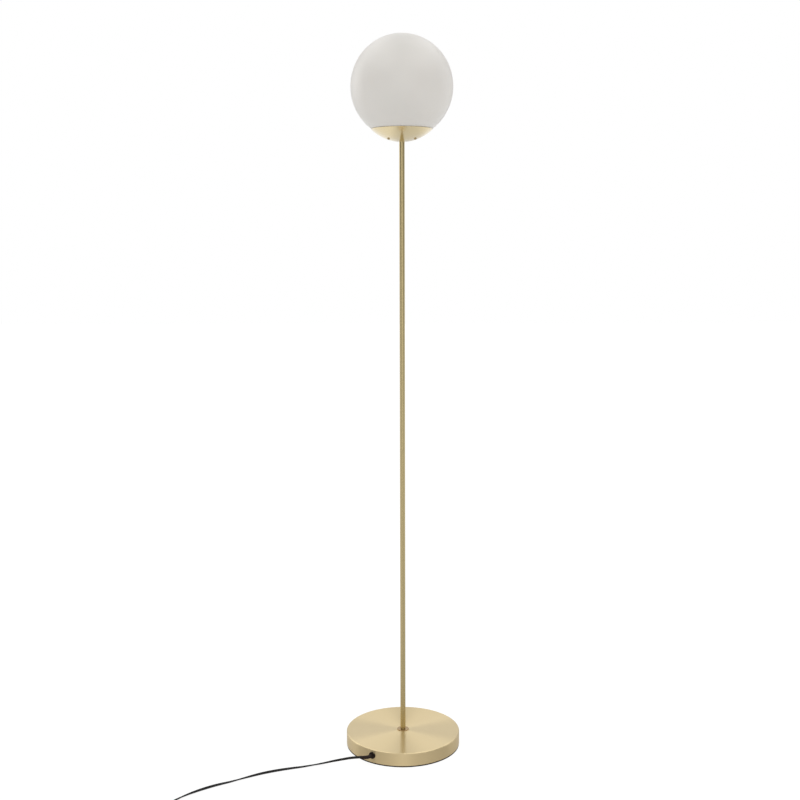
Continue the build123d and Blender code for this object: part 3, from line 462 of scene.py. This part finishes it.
coil_steps = round(2 * coil_layer_turns * coil_points_per_turn)
tail_points = [
    (-0.2970, switch_line_y, switch_line_height),
    (-0.2770, switch_line_y, switch_line_height),
    (-0.2570, switch_line_y, coil_low),
    (-0.2400, switch_line_y, coil_low),
]
for step in range(1, coil_steps):
    tail_points.append(tuple(coil_place(step / coil_points_per_turn)))
plug_line_y = coil_centre.y - coil_outer_radius
tail_points += [
    (-0.2400, plug_line_y, coil_high),
    (-0.2520, plug_line_y, coil_high),
    (-0.2680, plug_line_y, plug_line_height),
    (-0.2800, plug_line_y, plug_line_height),
]
tail_path = smooth_path("tail_line", tail_points)
cord_coil = flat_cord("flex_coil", tail_path, [0.0] * len(tail_path))
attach(cord_coil, "stand")
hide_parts("cord_link", "cord_coil", "cord_tail")


def strap_lines():
    """Points round the turns on the coil's right side and along the lapped end, with the way out at each."""
    # There the outermost turn is a quarter turn in, and the innermost one half a turn out from the middle.
    inner = coil_inner_radius + coil_pitch / 2 - cord_width / 2 - 2 * tie_gap
    outer = coil_outer_radius - coil_pitch / 4 + cord_width / 2 + 2 * tie_gap
    low = coil_low - cord_thickness / 2 - tie_gap
    high = coil_high + cord_thickness / 2 + tie_gap
    middle = Vector(((inner + outer) / 2, 0, (low + high) / 2))
    half = Vector(((outer - inner) / 2, 0, (high - low) / 2))
    corner = cord_thickness / 2
    round_turns = []
    for number, (right, top) in enumerate(((1, -1), (1, 1), (-1, 1), (-1, -1))):
        base = middle + Vector((right * (half.x - corner), 0, top * (half.z - corner)))
        for step in range(tie_corner_steps + 1):
            angle = radians(-90 + 90 * number + 90 * step / tie_corner_steps)
            away = Vector((cos(angle), 0, sin(angle)))
            round_turns.append((base + away * corner, away))
    lap = []
    for share in tie_lap_ends:
        lap.append((middle + Vector((share * half.x, 0, half.z + tie_thickness)), Vector((0, 0, 1))))
    return round_turns, lap


def add_band(mesh, line, closed=False):
    """A flat band along a line on the coil, as wide and as thick as the strap."""
    rows = []
    for base, away in line:
        row = []
        for across, rise in ((-0.5, 0), (-0.5, 1), (0.5, 1), (0.5, 0)):
            place = coil_centre + base + away * (rise * tie_thickness)
            row.append(mesh.verts.new(place + Vector((0, across * tie_width, 0))))
        rows.append(row)
    skin(mesh, rows, closed)


def coil_strap():
    """A soft strap round all the turns on the coil's right side, with its end lapped over."""
    mesh = bmesh.new()
    round_turns, lap = strap_lines()
    add_band(mesh, round_turns, closed=True)
    add_band(mesh, lap)
    bmesh.ops.recalc_face_normals(mesh, faces=mesh.faces)
    sharp = [edge for edge in mesh.edges if edge.calc_face_angle(0) > radians(tie_sharp_angle)]
    bmesh.ops.bevel(mesh, geom=sharp, offset=tie_bevel, segments=2, affect="EDGES")
    strap = finish_mesh("coil_strap", mesh, dark_plastic)
    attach(strap, "stand")
    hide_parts("coil_tie")
    return strap


strap = coil_strap()


# ---------------------------------------------------------------- floor, world, lamps and camera
def studio_floor():
    """A wide level floor just under the lamp."""
    mesh = bmesh.new()
    bmesh.ops.create_grid(mesh, x_segments=1, y_segments=1, size=floor_half_size)
    floor = finish_mesh("studio_floor", mesh, floor_material())
    floor.location = (0, 0, -floor_drop)


def grey_ramp(tree, value, levels):
    """A value turned into a grey by (value, level) steps."""
    low, high = levels[0][0], levels[-1][0]
    spread = tree.nodes.new("ShaderNodeMapRange")
    spread.inputs["From Min"].default_value = low
    spread.inputs["From Max"].default_value = high
    ramp = tree.nodes.new("ShaderNodeValToRGB")
    elements = ramp.color_ramp.elements
    while len(elements) < len(levels):
        elements.new(0.5)
    for element, (place, level) in zip(elements, levels):
        element.position = (place - low) / (high - low)
        element.color = (level, level, level, 1)
    tree.links.new(value, spread.inputs["Value"])
    tree.links.new(spread.outputs["Result"], ramp.inputs["Fac"])
    return ramp.outputs["Color"]


def computed(tree, operation, *values):
    """The result of a maths node on one or two sockets."""
    node = tree.nodes.new("ShaderNodeMath")
    node.operation = operation
    for socket, value in zip(node.inputs, values):
        tree.links.new(value, socket)
    return node.outputs["Value"]


def painted_floor_reflection(material):
    """The floor in reflections, painted with shade: a warm-tinted painted shadow graded by the direction near
    the base, and painted greys by x far off.
    """
    tree = material.node_tree
    place = add_node(material, "ShaderNodeTexCoord")
    distance = add_node(material, "ShaderNodeVectorMath", operation="LENGTH")
    split = add_node(material, "ShaderNodeSeparateXYZ")
    tree.links.new(place.outputs["Object"], distance.inputs[0])
    tree.links.new(place.outputs["Object"], split.inputs[0])
    facing = computed(tree, "DIVIDE", split.outputs["Y"], distance.outputs["Value"])
    near = add_node(material, "ShaderNodeMix", data_type="RGBA", blend_type="MULTIPLY")
    near.inputs["Factor"].default_value = 1.0
    near.inputs["B"].default_value = (*floor_near_painted_shade_tint, 1)
    tree.links.new(grey_ramp(tree, facing, floor_near_painted_shade_levels), near.inputs["A"])
    reach = grey_ramp(tree, distance.outputs["Value"], [(floor_near_reach, 0.0), (floor_far_reach, 1.0)])
    levels = add_node(material, "ShaderNodeMix", data_type="RGBA")
    tree.links.new(reach, levels.inputs["Factor"])
    tree.links.new(near.outputs["Result"], levels.inputs["A"])
    tree.links.new(grey_ramp(tree, split.outputs["X"], floor_far_painted_shade_levels), levels.inputs["B"])
    return levels.outputs["Result"]


def floor_material():
    """White with a faint shadow to the camera, pale as a light, and painted shade in graded greys in
    reflections.
    """
    material = bpy.data.materials.new("studio_floor")
    material.use_nodes = True
    tree = material.node_tree
    tree.nodes.clear()
    rays = add_node(material, "ShaderNodeLightPath")
    seen = add_node(material, "ShaderNodeAddShader")
    unseen = add_node(material, "ShaderNodeMixShader")
    choice = add_node(material, "ShaderNodeMixShader")
    output = add_node(material, "ShaderNodeOutputMaterial")
    shadow = add_node(material, "ShaderNodeBsdfDiffuse")
    shadow.inputs["Color"].default_value = (*floor_shadow_share, 1)
    glow = add_node(material, "ShaderNodeEmission")
    glow.inputs["Strength"].default_value = floor_glow
    plain = add_node(material, "ShaderNodeBsdfDiffuse")
    plain.inputs["Color"].default_value = (*floor_as_light, 1)
    mirrored = add_node(material, "ShaderNodeEmission")
    tree.links.new(painted_floor_reflection(material), mirrored.inputs["Color"])
    tree.links.new(shadow.outputs["BSDF"], seen.inputs[0])
    tree.links.new(glow.outputs["Emission"], seen.inputs[1])
    tree.links.new(rays.outputs["Is Glossy Ray"], unseen.inputs["Fac"])
    tree.links.new(plain.outputs["BSDF"], unseen.inputs[1])
    tree.links.new(mirrored.outputs["Emission"], unseen.inputs[2])
    tree.links.new(rays.outputs["Is Camera Ray"], choice.inputs["Fac"])
    tree.links.new(unseen.outputs["Shader"], choice.inputs[1])
    tree.links.new(seen.outputs["Shader"], choice.inputs[2])
    tree.links.new(choice.outputs["Shader"], output.inputs["Surface"])
    return material


def world_reflection(tree):
    """How bright the world is in reflections, by the direction: the brightest of its three parts."""
    place = tree.nodes.new("ShaderNodeTexCoord")
    split = tree.nodes.new("ShaderNodeSeparateXYZ")
    tree.links.new(place.outputs["Generated"], split.inputs[0])
    aside = computed(tree, "ABSOLUTE", split.outputs["X"])
    side = grey_ramp(tree, aside, side_levels)
    back = grey_ramp(tree, split.outputs["Y"], back_levels)
    low_part = computed(tree, "MULTIPLY", side, back)
    high = grey_ramp(tree, aside, high_levels)
    height = grey_ramp(tree, split.outputs["Z"], high_fade)
    high_part = computed(tree, "MULTIPLY", high, height)
    rear = grey_ramp(tree, split.outputs["X"], rear_levels)
    depth = grey_ramp(tree, split.outputs["Y"], rear_fade)
    rear_part = computed(tree, "MULTIPLY", rear, depth)
    return computed(tree, "MAXIMUM", computed(tree, "MAXIMUM", low_part, high_part), rear_part)


def studio_world():
    """White to the camera, even as a light, and graded by the direction in reflections."""
    world = bpy.data.worlds.new("studio")
    bpy.context.scene.world = world
    world.use_nodes = True
    tree = world.node_tree
    tree.nodes.clear()
    rays = tree.nodes.new("ShaderNodeLightPath")
    mirrored = tree.nodes.new("ShaderNodeBackground")
    even = tree.nodes.new("ShaderNodeBackground")
    white = tree.nodes.new("ShaderNodeBackground")
    unseen = tree.nodes.new("ShaderNodeMixShader")
    choice = tree.nodes.new("ShaderNodeMixShader")
    output = tree.nodes.new("ShaderNodeOutputWorld")
    tree.links.new(world_reflection(tree), mirrored.inputs["Color"])
    even.inputs["Color"].default_value = (*even_level, 1)
    white.inputs["Color"].default_value = (1, 1, 1, 1)
    tree.links.new(rays.outputs["Is Glossy Ray"], unseen.inputs["Fac"])
    tree.links.new(even.outputs["Background"], unseen.inputs[1])
    tree.links.new(mirrored.outputs["Background"], unseen.inputs[2])
    tree.links.new(rays.outputs["Is Camera Ray"], choice.inputs["Fac"])
    tree.links.new(unseen.outputs["Shader"], choice.inputs[1])
    tree.links.new(white.outputs["Background"], choice.inputs[2])
    tree.links.new(choice.outputs["Shader"], output.inputs["Surface"])


def soft_lamp(name, place, target, size, energy):
    """A square area lamp that points at a target."""
    lamp = bpy.data.lights.new(name, "AREA")
    lamp.size = size
    lamp.energy = energy
    holder = bpy.data.objects.new(name, lamp)
    holder.location = place
    holder.rotation_euler = (Vector(target) - Vector(place)).to_track_quat("-Z", "Y").to_euler()
    bpy.context.scene.collection.objects.link(holder)


def main_camera():
    """The photo's camera: its place, its tilt and a slight roll."""
    data = bpy.data.cameras.new("camera")
    data.sensor_width = sensor_width_mm
    data.lens = focal_pixels / image_pixels * sensor_width_mm
    camera = bpy.data.objects.new("camera", data)
    camera.location = camera_place
    camera.rotation_euler = (radians(camera_tilt), radians(camera_roll), 0)
    bpy.context.scene.collection.objects.link(camera)
    bpy.context.scene.camera = camera


studio_floor()
studio_world()
soft_lamp("upper_left_lamp", place=(-1.6, -1.4, 2.6), target=(0, 0, 0.8), size=1.6, energy=1.5)
soft_lamp("upper_right_lamp", place=(1.7, -0.9, 2.2), target=(0, 0, 0.9), size=1.4, energy=1.0)
main_camera()
bpy.context.scene.view_settings.view_transform = "Standard"
